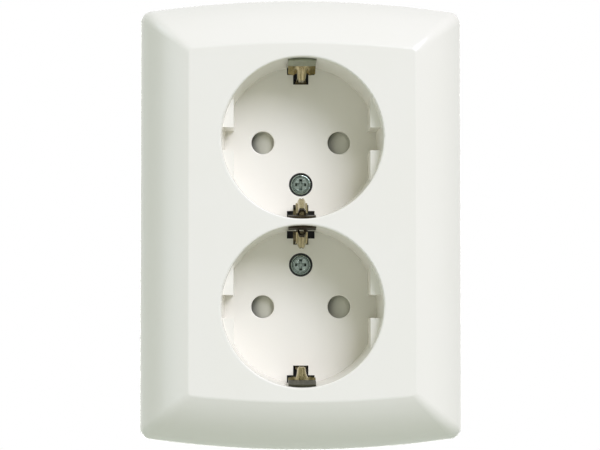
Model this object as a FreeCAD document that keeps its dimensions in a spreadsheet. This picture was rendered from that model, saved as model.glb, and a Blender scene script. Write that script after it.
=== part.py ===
import FreeCAD, Part
import math
import os
import Sketcher

# Double flush-mounted socket outlet with side earth contacts.
# X runs to the right, Z up, and the front of the cover faces -Y. The wall's surface is
# the plane Y = 0, and the origin is the middle of the two box screws.

Vector = FreeCAD.Vector
os.makedirs("parts", exist_ok=True)
doc = FreeCAD.newDocument("double_socket")

# Driving dimensions, in millimetres
SIZES = {
    # Cover plate
    "plate_width": 80.0,
    "plate_height": 112.0,
    "plate_depth": 22.0,
    "plate_corner_radius": 3.0,
    "plate_edge_round": 1.0,
    "plate_end_radius": 263.0,
    "plate_rim_height": 3.0,
    "bevel_width": 12.5,
    "cover_wall": 2.2,
    "cavity_corner_radius": 1.0,
    "cavity_edge_round": 0.5,
    # Wells in the cover
    "well_pitch": 40.9,
    "well_depth": 17.5,
    "well_rim_radius": 19.7,
    "well_floor_radius": 18.95,
    "well_wall": 1.5,
    "well_rim_round": 0.4,
    "floor_thickness": 1.6,
    "guide_flat": 16.7,
    "guide_drop": 4.0,
    "guide_notch": 5.6,
    "pin_pitch": 19.0,
    "pin_hole_radius": 2.8,
    "pin_hole_round": 0.3,
    # Slots and wall pockets for the earth clips
    "clip_slot_width": 6.9,
    "clip_slot_neck": 3.8,
    "clip_slot_outer": 18.9,
    "clip_slot_step": 17.0,
    "clip_slot_end": 14.6,
    "clip_inner_slot_end": 15.5,
    "clip_pocket_width": 7.0,
    "clip_pocket_radius": 19.85,
    "clip_pocket_drop": 2.0,
    # Cover screws
    "cover_screw_pitch": 20.0,
    "screw_recess_radius": 2.95,
    "screw_recess_depth": 2.0,
    "screw_seat_thickness": 0.9,
    "screw_boss_radius": 3.8,
    "screw_head_radius": 2.6,
    "screw_head_height": 1.8,
    "screw_head_round": 0.35,
    "screw_shank_radius": 1.5,
    "screw_end": 7.4,
    "screw_cross_length": 2.9,
    "screw_cross_width": 0.7,
    "screw_cross_depth": 1.1,
    # Clearances
    "seat_gap": 0.1,
    "running_gap": 0.25,
    "hole_gap": 0.15,
    "tight_gap": 0.05,
    "cut_margin": 1.0,
    # Support frame
    "frame_side_gap": 2.3,
    "frame_height": 84.0,
    "frame_thickness": 1.0,
    "frame_corner_radius": 4.0,
    "insert_gap": 0.4,
    "box_screw_pitch": 60.0,
    "box_slot_length": 7.0,
    "box_slot_width": 3.6,
    # Contact carrier
    "insert_radius": 29.2,
    "insert_half_width": 24.0,
    "insert_split": 8.0,
    "flange_reach": 2.3,
    "flange_corner_radius": 3.0,
    "pin_passage_radius": 2.7,
    "channel_floor": 1.75,
    "lyre_room_width": 8.8,
    "lyre_room_height": 6.4,
    "lyre_room_depth": 2.8,
    # Rivets
    "frame_rivet_edge": 4.5,
    "frame_rivet_inset": 5.0,
    "frame_rivet_radius": 1.25,
    "frame_rivet_head_radius": 2.0,
    "frame_rivet_head_height": 0.6,
    "rivet_radius": 1.0,
    "rivet_head_radius": 1.5,
    "rivet_head_height": 0.6,
    "earth_rivet_height": 32.2,
    "link_rivet_height": 15.6,
    # Earth bows and link
    "strip_thickness": 0.8,
    "strip_width": 3.0,
    "strip_bend": 0.9,
    "strip_front": 3.0,
    "clip_head_width": 6.7,
    "clip_head_radius": 19.3,
    "clip_head_drop": 2.3,
    "clip_bend_radius": 18.3,
    "clip_bend_drop": 5.5,
    "clip_tip_radius": 18.9,
    "clip_tip_drop": 5.0,
    "clip_crest_radius": 15.0,
    "clip_crest_drop": 10.0,
    "clip_root_radius": 15.2,
    "clip_inner_root_radius": 16.1,
    "clip_head_length": 2.6,
    "screw_eye_radius": 3.6,
    "rivet_eye_radius": 2.5,
    "link_width": 8.0,
    "link_height": 36.0,
    "link_tab_height": 12.0,
    "link_collar_radius": 2.3,
    "link_collar_height": 1.8,
    # Shutters and their springs
    "shutter_half_length": 12.4,
    "shutter_block_length": 5.8,
    "shutter_width": 6.4,
    "shutter_bar": 0.7,
    "shutter_travel": 5.4,
    "shutter_ramp_drop": 2.2,
    "shutter_ramp_length": 4.7,
    "shutter_ramp_radius": 7.0,
    "shutter_corner_radius": 2.8,
    "post_thickness": 1.0,
    "post_width": 3.2,
    "post_place": 4.6,
    "coil_radius": 1.0,
    "coil_wire_radius": 0.175,
    "coil_turns": 9.0,
    # Contact rails
    "rail_thickness": 0.8,
    "rail_front": 15.2,
    "rail_width": 4.0,
    "leaf_thickness": 0.6,
    "leaf_height": 5.0,
    "leaf_bend": 0.9,
    "leaf_mouth": 6.4,
    "leaf_grip": 9.2,
    "leaf_foot": 12.6,
    "leaf_mouth_half": 3.5,
    "leaf_grip_half": 2.5,
    "leaf_foot_half": 3.2,
    # Rear housing and terminals
    "housing_radius": 28.9,
    "housing_back": 27.0,
    "housing_wall": 1.3,
    "housing_back_wall": 2.0,
    "partition_place": 5.0,
    "partition_thickness": 1.2,
    "cross_wall_place": 13.25,
    "cross_wall_thickness": 1.3,
    "live_wire_place": 10.2,
    "earth_wire_place": -1.3,
    "wire_pitch": 8.4,
    "wire_hole_radius": 1.6,
    "tab_offset": 2.3,
    "tab_end": 24.3,
    "tab_height": 12.0,
    "clamp_thickness": 0.4,
    "clamp_height": 12.8,
    "clamp_bend": 0.8,
    "clamp_leg_end": 17.2,
    "clamp_fold": 23.0,
    "clamp_tip": 19.6,
    "clamp_slit": 1.0,
    "bar_offset": 3.3,
    "bar_thickness": 1.4,
    "bar_height": 9.8,
    "bar_nose": 23.2,
    "bar_end": 28.0,
    "bar_ear_height": 11.2,
    "bar_ear_thickness": 0.8,
    # Housing screws
    "housing_screw_across": 40.0,
    "housing_screw_up": 18.0,
    "housing_boss_radius": 3.0,
    "housing_screw_radius": 1.25,
    "housing_screw_head_radius": 2.2,
    "housing_screw_head_height": 1.3,
    "housing_screw_recess": 1.6,
    "housing_screw_end": 2.6,
    "housing_screw_hole_end": 1.5,
    "housing_cross_length": 2.5,
    "housing_cross_width": 0.6,
}

sheet = doc.addObject("Spreadsheet::Sheet", "sizes")
for row, (alias, value) in enumerate(SIZES.items(), start=1):
    sheet.set(f"A{row}", alias)
    sheet.set(f"B{row}", str(value))
    sheet.setAlias(f"B{row}", alias)
doc.recompute()


# A size knows its number and the sheet expression that gives it
class Size:
    def __init__(self, number, text):
        self.number = number
        self.text = text

    def __add__(self, other):
        return joined(self, "+", other, self.number + size_of(other).number)

    def __radd__(self, other):
        return size_of(other) + self

    def __sub__(self, other):
        return joined(self, "-", other, self.number - size_of(other).number)

    def __rsub__(self, other):
        return size_of(other) - self

    def __mul__(self, other):
        return joined(self, "*", other, self.number * size_of(other).number)

    def __rmul__(self, other):
        return size_of(other) * self

    def __truediv__(self, other):
        return joined(self, "/", other, self.number / size_of(other).number)

    def __neg__(self):
        return self * -1


def size_of(value):
    return value if isinstance(value, Size) else Size(float(value), f"{float(value)}")


def joined(left, sign, right, number):
    return Size(number, f"({left.text} {sign} {size_of(right).text})")


def root(value):
    return Size(math.sqrt(value.number), f"sqrt({value.text})")


def far_side(hypotenuse, side):
    return root(hypotenuse * hypotenuse - side * side)


class Dimensions:
    def __getattr__(self, alias):
        return Size(float(sheet.get(alias)), f"sizes.{alias}")


dim = Dimensions()


def bind(thing, path, value):
    if isinstance(value, Size) and "sizes" in value.text:
        thing.setExpression(path, value.text)


# Outlines. A corner is (across, up) or (across, up, radius): the radius belongs to the arc
# that runs on to the next corner, and it bulges to the right of the way of travel, or to
# the left when it is negative.
class Round:
    def __init__(self, across, up, radius):
        self.across = across
        self.up = up
        self.radius = radius


def pin_down(sketch, edge, point, across, up):
    for kind, value, axis in (("DistanceX", across, -2), ("DistanceY", up, -1)):
        if isinstance(value, Size):
            number = value.number
            index = sketch.addConstraint(Sketcher.Constraint(kind, -1, 1, edge, point, number))
            bind(sketch, f"Constraints[{index}]", value)
        else:
            sketch.addConstraint(Sketcher.Constraint("PointOnObject", edge, point, axis))


def draw_circle(sketch, circle):
    centre = Vector(size_of(circle.across).number, size_of(circle.up).number, 0)
    shape = Part.Circle(centre, Vector(0, 0, 1), circle.radius.number)
    edge = sketch.addGeometry(shape, False)
    pin_down(sketch, edge, 3, circle.across, circle.up)
    index = sketch.addConstraint(Sketcher.Constraint("Radius", edge, circle.radius.number))
    bind(sketch, f"Constraints[{index}]", circle.radius)


def arc_between(start, end, radius):
    chord = end - start
    right = Vector(chord.y, -chord.x, 0).normalize()
    rise = abs(radius) - math.sqrt(radius * radius - (chord.Length / 2) ** 2)
    middle = (start + end) * 0.5 + right * math.copysign(rise, radius)
    return Part.Arc(start, middle, end) if radius > 0 else Part.Arc(end, middle, start)


def draw_outline(sketch, corners):
    points = []
    for corner in corners:
        points.append(Vector(size_of(corner[0]).number, size_of(corner[1]).number, 0))
    drawn = []
    for place, corner in enumerate(corners):
        start = points[place]
        end = points[(place + 1) % len(points)]
        if len(corner) == 3:
            edge = sketch.addGeometry(arc_between(start, end, corner[2].number), False)
        else:
            edge = sketch.addGeometry(Part.LineSegment(start, end), False)
        forward = sketch.Geometry[edge].StartPoint.distanceToPoint(start) < 1e-6
        drawn.append((edge, 1 if forward else 2, 2 if forward else 1))
    for place, (edge, first, last) in enumerate(drawn):
        follower, joint, _ = drawn[(place + 1) % len(drawn)]
        sketch.addConstraint(Sketcher.Constraint("Coincident", edge, last, follower, joint))
    for (edge, first, last), corner in zip(drawn, corners):
        pin_down(sketch, edge, first, corner[0], corner[1])
        if len(corner) == 3:
            radius = corner[2] * math.copysign(1, corner[2].number)
            index = sketch.addConstraint(Sketcher.Constraint("Radius", edge, radius.number))
            bind(sketch, f"Constraints[{index}]", radius)


def block(left, right, low, high):
    return [(left, low), (right, low), (right, high), (left, high)]


def rounded_block(left, right, low, high, radius):
    return [
        (left + radius, low), (right - radius, low, radius),
        (right, low + radius), (right, high - radius, radius),
        (right - radius, high), (left + radius, high, radius),
        (left, high - radius), (left, low + radius, radius),
    ]


def barrel(radius, half_width):
    rise = far_side(radius, half_width)
    return [
        (half_width, -rise), (half_width, rise, radius),
        (-half_width, rise), (-half_width, -rise, radius),
    ]


def slot(across, up, length, width):
    radius = width / 2
    straight = length / 2 - radius
    return [
        (across - straight, up - radius), (across + straight, up - radius, radius),
        (across + length / 2, up, radius), (across + straight, up + radius),
        (across - straight, up + radius, radius), (across - length / 2, up, radius),
    ]


# Bodies and their features. A prism in the XZ plane runs along Y from low to high.
def new_body(label):
    body = doc.addObject("PartDesign::Body", label)
    body.Label = label
    return body


def new_sketch(body, plane, level, outlines, across=0, up=0):
    sketch = body.newObject("Sketcher::SketchObject", "sketch")
    role = f"{plane}_Plane"
    origin = [item for item in body.Origin.OriginFeatures if item.Role == role][0]
    sketch.AttachmentSupport = [(origin, "")]
    sketch.MapMode = "FlatFace"
    height = -level if plane == "XZ" else level
    offset = Vector(size_of(across).number, size_of(up).number, size_of(height).number)
    sketch.AttachmentOffset = FreeCAD.Placement(offset, FreeCAD.Rotation())
    bind(sketch, "AttachmentOffset.Base.x", across)
    bind(sketch, "AttachmentOffset.Base.y", up)
    bind(sketch, "AttachmentOffset.Base.z", height)
    for outline in outlines:
        if isinstance(outline, Round):
            draw_circle(sketch, outline)
        else:
            draw_outline(sketch, outline)
    return sketch


# Only a body's last feature merges its faces
def settle(body, feature):
    for earlier in body.Group:
        if hasattr(earlier, "Refine"):
            earlier.Refine = False
    feature.Refine = True
    body.Tip = feature
    return feature


def add_prism(body, plane, low, high, *outlines):
    level = high if plane == "XZ" else low
    pad = body.newObject("PartDesign::Pad", "pad")
    pad.Profile = new_sketch(body, plane, level, outlines)
    bind(pad, "Length", high - low)
    return settle(body, pad)


def cut_prism(body, plane, low, high, *outlines):
    level = low if plane == "XZ" else high
    pocket = body.newObject("PartDesign::Pocket", "pocket")
    pocket.Profile = new_sketch(body, plane, level, outlines)
    bind(pocket, "Length", high - low)
    return settle(body, pocket)


# A turned feature's outline is drawn as (along Y, radius) beside its axis, which is
# parallel to Y.
def turn(body, kind, across, up, outline):
    feature = body.newObject(kind, "turned")
    sketch = new_sketch(body, "YZ", size_of(across), [outline], up=up)
    feature.Profile = sketch
    feature.ReferenceAxis = (sketch, ["H_Axis"])
    feature.Angle = 360
    return settle(body, feature)


def add_turned(body, across, up, outline):
    return turn(body, "PartDesign::Revolution", across, up, outline)


def cut_turned(body, across, up, outline):
    return turn(body, "PartDesign::Groove", across, up, outline)


def round_edges(body, base, radius, is_wanted):
    doc.recompute()
    names = []
    for number, edge in enumerate(base.Shape.Edges, start=1):
        if is_wanted(edge):
            names.append(f"Edge{number}")
    fillet = body.newObject("PartDesign::Fillet", "rounding")
    fillet.Base = (base, names)
    fillet.Radius = radius.number
    bind(fillet, "Radius", radius)
    return settle(body, fillet)


# A strip folded from sheet: its middle line runs through points, and each fold is an arc
def folded_strip(points, fold, thickness, to_space, depth):
    half = thickness / 2
    sides = {1: [], -1: []}
    for place, point in enumerate(points):
        before = (point - points[place - 1]).normalize() if place else None
        after = (points[place + 1] - point).normalize() if place + 1 < len(points) else None
        if before is None or after is None:
            way = after or before
            normal = Vector(-way.y, way.x, 0)
            for side in sides:
                sides[side].append([point + normal * half * side])
            continue
        reach = fold * math.tan(before.getAngle(after) / 2)
        start = point - before * reach
        end = point + after * reach
        start_normal = Vector(-before.y, before.x, 0)
        end_normal = Vector(-after.y, after.x, 0)
        inward = (after - before).normalize()
        centre = point + inward * math.sqrt(fold * fold + reach * reach)
        top = centre - inward * fold
        top_normal = (start_normal + end_normal).normalize()
        for side in sides:
            shift = half * side
            sides[side].append([start + start_normal * shift, top + top_normal * shift,
                                end + end_normal * shift])
    chain = sides[1] + [list(reversed(stop)) for stop in reversed(sides[-1])]
    edges = []
    for place, stop in enumerate(chain):
        follower = chain[(place + 1) % len(chain)]
        if len(stop) == 3:
            edges.append(Part.Arc(*[to_space(spot) for spot in stop]).toShape())
        edges.append(Part.LineSegment(to_space(stop[-1]), to_space(follower[0])).toShape())
    return Part.Face(Part.Wire(Part.__sortEdges__(edges))).extrude(depth)


def across_strip(points, fold, thickness, width):
    # Folded about X: points are (along Y, up)
    spots = [Vector(along.number, up.number, 0) for along, up in points]
    left = -width.number / 2
    return folded_strip(spots, fold.number, thickness.number,
                        lambda spot: Vector(left, spot.x, spot.y), Vector(width.number, 0, 0))


def upright_strip(points, fold, thickness, low, high):
    # Folded about Z: points are (across, along Y)
    spots = [Vector(across.number, along.number, 0) for across, along in points]
    return folded_strip(spots, fold.number, thickness.number,
                        lambda spot: Vector(spot.x, spot.y, low.number),
                        Vector(0, 0, high.number - low.number))


def plain_block(left, right, front, back, low, high):
    corner = Vector(left.number, front.number, low.number)
    return Part.makeBox(right.number - left.number, back.number - front.number,
                        high.number - low.number, corner)


def plain_rod(across, up, front, back, radius):
    start = Vector(size_of(across).number, front.number, up.number)
    return Part.makeCylinder(radius.number, back.number - front.number, start, Vector(0, 1, 0))


def keep_shape(label, shape):
    piece = doc.addObject("Part::Feature", label)
    piece.Label = label
    piece.Shape = shape.removeSplitter()
    return piece


# Levels along Y that several pieces share
plate_front = -dim.plate_depth
floor_front = plate_front + dim.well_depth
floor_back = floor_front + dim.floor_thickness
flange_front = floor_back + dim.seat_gap
frame_front = -dim.frame_thickness
wall_plane = size_of(0)
screw_seat = floor_front + dim.screw_recess_depth
boss_back = screw_seat + dim.screw_seat_thickness
strip_back = dim.strip_front + dim.strip_thickness
link_back = strip_back + dim.strip_thickness
rail_back = dim.rail_front + dim.rail_thickness
chamber_back = dim.housing_back - dim.housing_back_wall
well_height = dim.well_pitch / 2
screw_height = dim.cover_screw_pitch / 2
pin_place = dim.pin_pitch / 2
flange_top = dim.insert_radius + dim.flange_reach
rivet_across = dim.insert_half_width - dim.frame_rivet_inset
rivet_up = flange_top - dim.frame_rivet_edge
SIDES = (("upper", 1), ("lower", -1))


# Cover
# The plate's bevels are arcs that meet the straight rim without a kink. The side bevels
# run along Z, and the end bevels turn about the centres of the plate's curved ends. One
# rounding runs up each corner and its mitre, and a smaller one round the flat field.
def bevelled_body(label, corner_radius, edge_round, inset=size_of(0)):
    body = new_body(label)
    front = plate_front + inset
    half_width = dim.plate_width / 2 - inset
    end_radius = dim.plate_end_radius - inset
    end_centre = dim.plate_height / 2 - dim.plate_end_radius
    corner_height = end_centre + far_side(end_radius, half_width)
    outline = [
        (-half_width, -corner_height, end_radius), (half_width, -corner_height),
        (half_width, corner_height, end_radius), (-half_width, corner_height),
    ]
    add_prism(body, "XZ", front, wall_plane, outline)
    bevel_depth = dim.plate_depth - dim.plate_rim_height
    bevel_square = dim.bevel_width * dim.bevel_width + bevel_depth * bevel_depth
    bevel_radius = bevel_square / (dim.bevel_width * 2)
    radius = bevel_radius - inset
    reach = far_side(radius, bevel_depth - inset)
    rim = -dim.plate_rim_height
    ahead = front - dim.cut_margin
    for side in (1, -1):
        start = (dim.plate_width / 2 - bevel_radius + reach) * side
        beside = (half_width + dim.cut_margin) * side
        bevel = [
            (start, ahead), (start, front, radius * side), (half_width * side, rim),
            (beside, rim), (beside, ahead),
        ]
        cut_prism(body, "XY", -dim.plate_height, dim.plate_height, bevel)
        start = dim.plate_end_radius - bevel_radius + reach
        beyond = end_radius + dim.plate_corner_radius + dim.cut_margin
        bevel = [
            (ahead, start), (front, start, -radius), (rim, end_radius),
            (rim, beyond), (ahead, beyond),
        ]
        bevelled = cut_turned(body, 0, end_centre * side, bevel if side > 0 else mirrored(bevel))

    def is_corner(edge):
        start, end = [vertex.Point for vertex in edge.Vertexes]
        rise = abs(start.y - end.y)
        return abs(start.x) > corner_radius.number and rise > corner_radius.number / 2

    def is_field_edge(edge):
        return all(abs(vertex.Point.y - front.number) < 1e-6 for vertex in edge.Vertexes)

    cornered = round_edges(body, bevelled, corner_radius, is_corner)
    round_edges(body, cornered, edge_round, is_field_edge)
    return body


def mirrored(outline):
    turned = []
    for corner in outline:
        turned.append((corner[0], -corner[1]) + tuple(-radius for radius in corner[2:]))
    return turned


def rounded_mouth(body, across, up, front, back, mouth_radius, back_radius, rounding):
    ahead = front - dim.cut_margin
    cut_turned(body, across, up, [
        (ahead, 0), (ahead, mouth_radius + rounding), (front, mouth_radius + rounding, rounding),
        (front + rounding, mouth_radius), (back, back_radius), (back, 0),
    ])


def clip_slot(side, up, slot_end):
    # T-shaped hole in a well's floor, wide beside the well's wall
    outer = up + dim.clip_slot_outer * side
    step = up + dim.clip_slot_step * side
    end = up + slot_end * side
    wide = dim.clip_slot_width / 2
    neck = dim.clip_slot_neck / 2
    return [
        (-wide, outer), (-wide, step), (-neck, step), (-neck, end),
        (neck, end), (neck, step), (wide, step), (wide, outer),
    ]


def guide_ribs(up):
    radius = dim.well_rim_radius + dim.well_wall / 2
    notch = dim.guide_notch / 2
    ribs = []
    for side in (1, -1):
        for half in (1, -1):
            ribs.append([
                (dim.guide_flat * side, up + notch * half),
                (far_side(radius, notch) * side, up + notch * half, radius * (side * half)),
                (dim.guide_flat * side, up + far_side(radius, dim.guide_flat) * half),
            ])
    return ribs


def build_cover():
    cover = bevelled_body("cover", dim.plate_corner_radius, dim.plate_edge_round)
    core = bevelled_body("cover_core", dim.cavity_corner_radius, dim.cavity_edge_round,
                         dim.cover_wall)
    hollow = cover.newObject("PartDesign::Boolean", "hollow")
    hollow.Type = "Cut"
    hollow.setObjects([core])
    cover.Tip = hollow
    inside_front = plate_front + dim.cover_wall / 2
    ribs, bosses, recesses, screw_holes, slots, pockets, pin_holes = [], [], [], [], [], [], []
    for _, side in SIDES:
        up = well_height * side
        outside = dim.well_rim_radius + dim.well_wall
        add_prism(cover, "XZ", inside_front, floor_back, Round(0, up, outside))
        ribs += guide_ribs(up)
        height = screw_height * side
        bosses.append(Round(0, height, dim.screw_boss_radius))
        recesses.append(Round(0, height, dim.screw_recess_radius))
        screw_holes.append(Round(0, height, dim.screw_shank_radius + dim.hole_gap))
        for end in (1, -1):
            is_outer = end == side
            slot_end = dim.clip_slot_end if is_outer else dim.clip_inner_slot_end
            slots.append(clip_slot(end, up, slot_end))
            near = up + dim.clip_slot_step * end
            far = up + dim.clip_pocket_radius * end
            half = dim.clip_pocket_width / 2
            pockets.append(block(-half, half, near, far))
            pin_holes.append(Round(pin_place * end, up, dim.pin_hole_radius))
    for _, side in SIDES:
        rounded_mouth(cover, 0, well_height * side, plate_front, floor_front,
                      dim.well_rim_radius, dim.well_floor_radius, dim.well_rim_round)
    add_prism(cover, "XZ", plate_front + dim.guide_drop, floor_front, *ribs)
    add_prism(cover, "XZ", floor_front, boss_back, *bosses)
    cut_prism(cover, "XZ", floor_front, screw_seat, *recesses)
    cut_prism(cover, "XZ", screw_seat, boss_back, *screw_holes)
    cut_prism(cover, "XZ", floor_front, floor_back, *slots)
    cut_prism(cover, "XZ", plate_front + dim.clip_pocket_drop, floor_front, *pockets)
    holed = cut_prism(cover, "XZ", floor_front, floor_back, *pin_holes)

    def is_pin_mouth(edge):
        centre = getattr(edge.Curve, "Center", None)
        if centre is None or abs(centre.y - floor_front.number) > 1e-6:
            return False
        return abs(edge.Curve.Radius - dim.pin_hole_radius.number) < 1e-6

    round_edges(cover, holed, dim.pin_hole_round, is_pin_mouth)
    return cover


# Screws with a cross recess
def build_screw(label, across, up, seat, facing, head_radius, head_height, radius, end,
                cross_length, cross_width):
    body = new_body(label)
    top = seat + head_height * facing
    rounding = dim.screw_head_round
    add_turned(body, across, up, [
        (end, 0), (end, radius - rounding), (end + rounding * facing, radius),
        (seat, radius), (seat, head_radius),
        (top - rounding * facing, head_radius, rounding * -facing),
        (top, head_radius - rounding),
        (top, 0),
    ])
    long_half = cross_length / 2
    wide_half = cross_width / 2
    low = top if facing < 0 else top - dim.screw_cross_depth
    high = low + dim.screw_cross_depth
    cross = []
    for turn_across, turn_up in ((1, 1), (-1, 1), (-1, -1), (1, -1)):
        first = (across + long_half * turn_across, up + wide_half * turn_up)
        inner = (across + wide_half * turn_across, up + wide_half * turn_up)
        last = (across + wide_half * turn_across, up + long_half * turn_up)
        cross += [first, inner, last] if turn_across == turn_up else [last, inner, first]
    cut_prism(body, "XZ", low, high, cross)
    return body


def build_cover_screw(name, side):
    return build_screw(f"cover_screw_{name}", 0, screw_height * side, screw_seat, -1,
                       dim.screw_head_radius, dim.screw_head_height, dim.screw_shank_radius,
                       dim.screw_end, dim.screw_cross_length, dim.screw_cross_width)


# Support frame, blanked from sheet steel
def build_support_frame():
    frame = new_body("support_frame")
    half_width = dim.plate_width / 2 - dim.cover_wall - dim.frame_side_gap
    half_height = dim.frame_height / 2
    sheet_metal = rounded_block(-half_width, half_width, -half_height, half_height,
                                dim.frame_corner_radius)
    add_prism(frame, "XZ", frame_front, wall_plane, sheet_metal)
    opening = barrel(dim.insert_radius + dim.insert_gap, dim.insert_half_width + dim.insert_gap)
    cut_prism(frame, "XZ", frame_front, wall_plane, opening)
    holes = []
    for side in (1, -1):
        holes.append(slot(dim.box_screw_pitch / 2 * side, 0, dim.box_slot_length,
                          dim.box_slot_width))
        for half in (1, -1):
            holes.append(Round(rivet_across * half, rivet_up * side,
                               dim.frame_rivet_radius + dim.tight_gap))
        holes.append(Round(0, dim.earth_rivet_height * side, dim.rivet_radius + dim.tight_gap))
    cut_prism(frame, "XZ", frame_front, wall_plane, *holes)
    return frame


# Rivets. The shank is parallel to Y, with a head in front and, where it has one, behind.
def build_rivet(label, across, up, front, back, radius, head_radius, head_height, closing):
    body = new_body(label)
    outline = [(front - head_height, 0), (front - head_height, head_radius),
               (front, head_radius), (front, radius), (back, radius)]
    if closing:
        outline += [(back, head_radius), (back + head_height, head_radius),
                    (back + head_height, 0)]
    else:
        outline += [(back, 0)]
    add_turned(body, across, up, outline)
    return body


def build_rivets():
    rivets = []
    number = 0
    for side in (1, -1):
        for half in (-1, 1):
            number += 1
            rivets.append(build_rivet(
                f"frame_rivet_{number}", rivet_across * half, rivet_up * side,
                flange_front + dim.frame_rivet_head_height, wall_plane, dim.frame_rivet_radius,
                dim.frame_rivet_head_radius, dim.frame_rivet_head_height, False))
    for name, side in SIDES:
        rivets.append(build_rivet(
            f"earth_rivet_{name}", 0, dim.earth_rivet_height * side,
            frame_front - dim.strip_thickness, wall_plane, dim.rivet_radius,
            dim.rivet_head_radius, dim.rivet_head_height, False))
        rivets.append(build_rivet(
            f"link_rivet_{name}", 0, dim.link_rivet_height * side, dim.strip_front,
            link_back, dim.rivet_radius, dim.rivet_head_radius, dim.rivet_head_height, True))
    return rivets


# Contact carrier, the moulded front part of the insert
def build_contact_carrier():
    carrier = new_body("contact_carrier")
    half_width = dim.insert_half_width
    flange = rounded_block(-half_width, half_width, -flange_top, flange_top,
                           dim.flange_corner_radius)
    add_prism(carrier, "XZ", flange_front, frame_front, flange)
    add_prism(carrier, "XZ", flange_front + dim.frame_rivet_head_height, dim.insert_split,
              barrel(dim.insert_radius, half_width))
    ahead = flange_front - dim.cut_margin
    behind = dim.insert_split + dim.cut_margin
    groove_front = dim.strip_front - dim.tight_gap
    channels, posts, pins, lyres, bosses, screws = [], [], [], [], [], []
    clips, rivet_heads, arms, arm_steps, arm_grooves, eye_notches = [], [], [], [], [], []
    for _, side in SIDES:
        up = well_height * side
        height = screw_height * side
        # Shutter channel, the post of its spring, and the rooms behind it
        left = -dim.shutter_half_length - dim.running_gap
        right = dim.shutter_half_length + dim.shutter_travel + dim.running_gap
        half = dim.shutter_width / 2 + dim.running_gap
        channels.append(rounded_block(left, right, up - half, up + half,
                                      dim.shutter_corner_radius + dim.running_gap))
        posts.append(block(dim.post_place, dim.post_place + dim.post_thickness,
                           up - dim.post_width / 2, up + dim.post_width / 2))
        for place in (pin_place, -pin_place):
            wide = dim.lyre_room_width / 2
            high = dim.lyre_room_height / 2
            pins.append(Round(place, up, dim.pin_passage_radius))
            lyres.append(block(place - wide, place + wide, up - high, up + high))
        # Rooms for the screw boss, the screw, the inner clip and its rivet
        bosses.append(Round(0, height, dim.screw_boss_radius + dim.running_gap))
        screws.append(Round(0, height, dim.screw_shank_radius + dim.running_gap))
        neck = dim.clip_slot_neck / 2
        clips.append(block(-neck, neck, up - (dim.clip_inner_slot_end - dim.hole_gap) * side,
                           up - (dim.clip_slot_outer + dim.hole_gap) * side))
        rivet_heads.append(Round(0, dim.link_rivet_height * side,
                                 dim.rivet_head_radius + dim.hole_gap))
        # Way of the earth bow's arm, from the frame's front down into the insert
        arm = dim.strip_width / 2 + dim.running_gap
        fold_room = dim.strip_bend - dim.strip_thickness / 2 + dim.running_gap
        near = dim.insert_radius - dim.strip_thickness - dim.running_gap - fold_room
        far = dim.insert_radius + dim.cut_margin
        arms.append(block(-arm, arm, near * side, far * side))
        arm_steps.append(block(-arm, arm, near * side, (flange_top + dim.cut_margin) * side))
        eye = dim.rivet_eye_radius + dim.running_gap
        eye_notches.append(block(-eye, eye, (dim.earth_rivet_height - eye) * side,
                                 (flange_top + dim.cut_margin) * side))
        arm_grooves.append(block(-arm, arm, dim.link_height / 2 * side, far * side))
    cut_prism(carrier, "XZ", ahead, dim.channel_floor, *channels)
    add_prism(carrier, "XZ", flange_front, dim.channel_floor, *posts)
    cut_prism(carrier, "XZ", dim.channel_floor, behind, *pins)
    cut_prism(carrier, "XZ", dim.insert_split - dim.lyre_room_depth, behind, *lyres)
    cut_prism(carrier, "XZ", ahead, boss_back + dim.seat_gap, *bosses)
    cut_prism(carrier, "XZ", boss_back, groove_front, *screws)
    cut_prism(carrier, "XZ", ahead, groove_front, *clips)
    cut_prism(carrier, "XZ", groove_front - dim.rivet_head_height, groove_front, *rivet_heads)
    arm_front = frame_front - dim.strip_thickness - dim.tight_gap
    cut_prism(carrier, "XZ", arm_front, frame_front, *arm_steps)
    cut_prism(carrier, "XZ", ahead, frame_front, *eye_notches)
    cut_prism(carrier, "XZ", frame_front, behind, *arms)
    # Room for the link and the bows' eyes, and the arms' grooves beyond it
    wide = dim.link_width / 2 + dim.running_gap
    high = dim.link_height / 2 + dim.running_gap
    cut_prism(carrier, "XZ", groove_front, behind, block(-wide, wide, -high, high))
    cut_prism(carrier, "XZ", groove_front, behind, *arm_grooves)
    heads, shanks, housing_holes = [], [], []
    for side in (1, -1):
        for half in (1, -1):
            across = rivet_across * half
            up = rivet_up * side
            heads.append(Round(across, up, dim.frame_rivet_head_radius + dim.tight_gap))
            shanks.append(Round(across, up, dim.frame_rivet_radius + dim.tight_gap))
            housing_holes.append(Round(dim.housing_screw_across / 2 * half,
                                       dim.housing_screw_up / 2 * side,
                                       dim.housing_screw_radius + dim.tight_gap))
    cut_prism(carrier, "XZ", ahead, flange_front + dim.frame_rivet_head_height, *heads)
    cut_prism(carrier, "XZ", flange_front, frame_front, *shanks)
    cut_prism(carrier, "XZ", dim.housing_screw_hole_end, behind, *housing_holes)
    return carrier


# Earth bow: one folded strip with a clip at each end. The clip beside the plate's end has
# a wide head in its wall pocket, and the one beside the other well has none.
def clip_leg(up, end, root_radius, root):
    return [
        (plate_front + dim.clip_crest_drop, up + dim.clip_crest_radius * end),
        (floor_front, up + root_radius * end),
        (root, up + root_radius * end),
    ]


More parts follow.
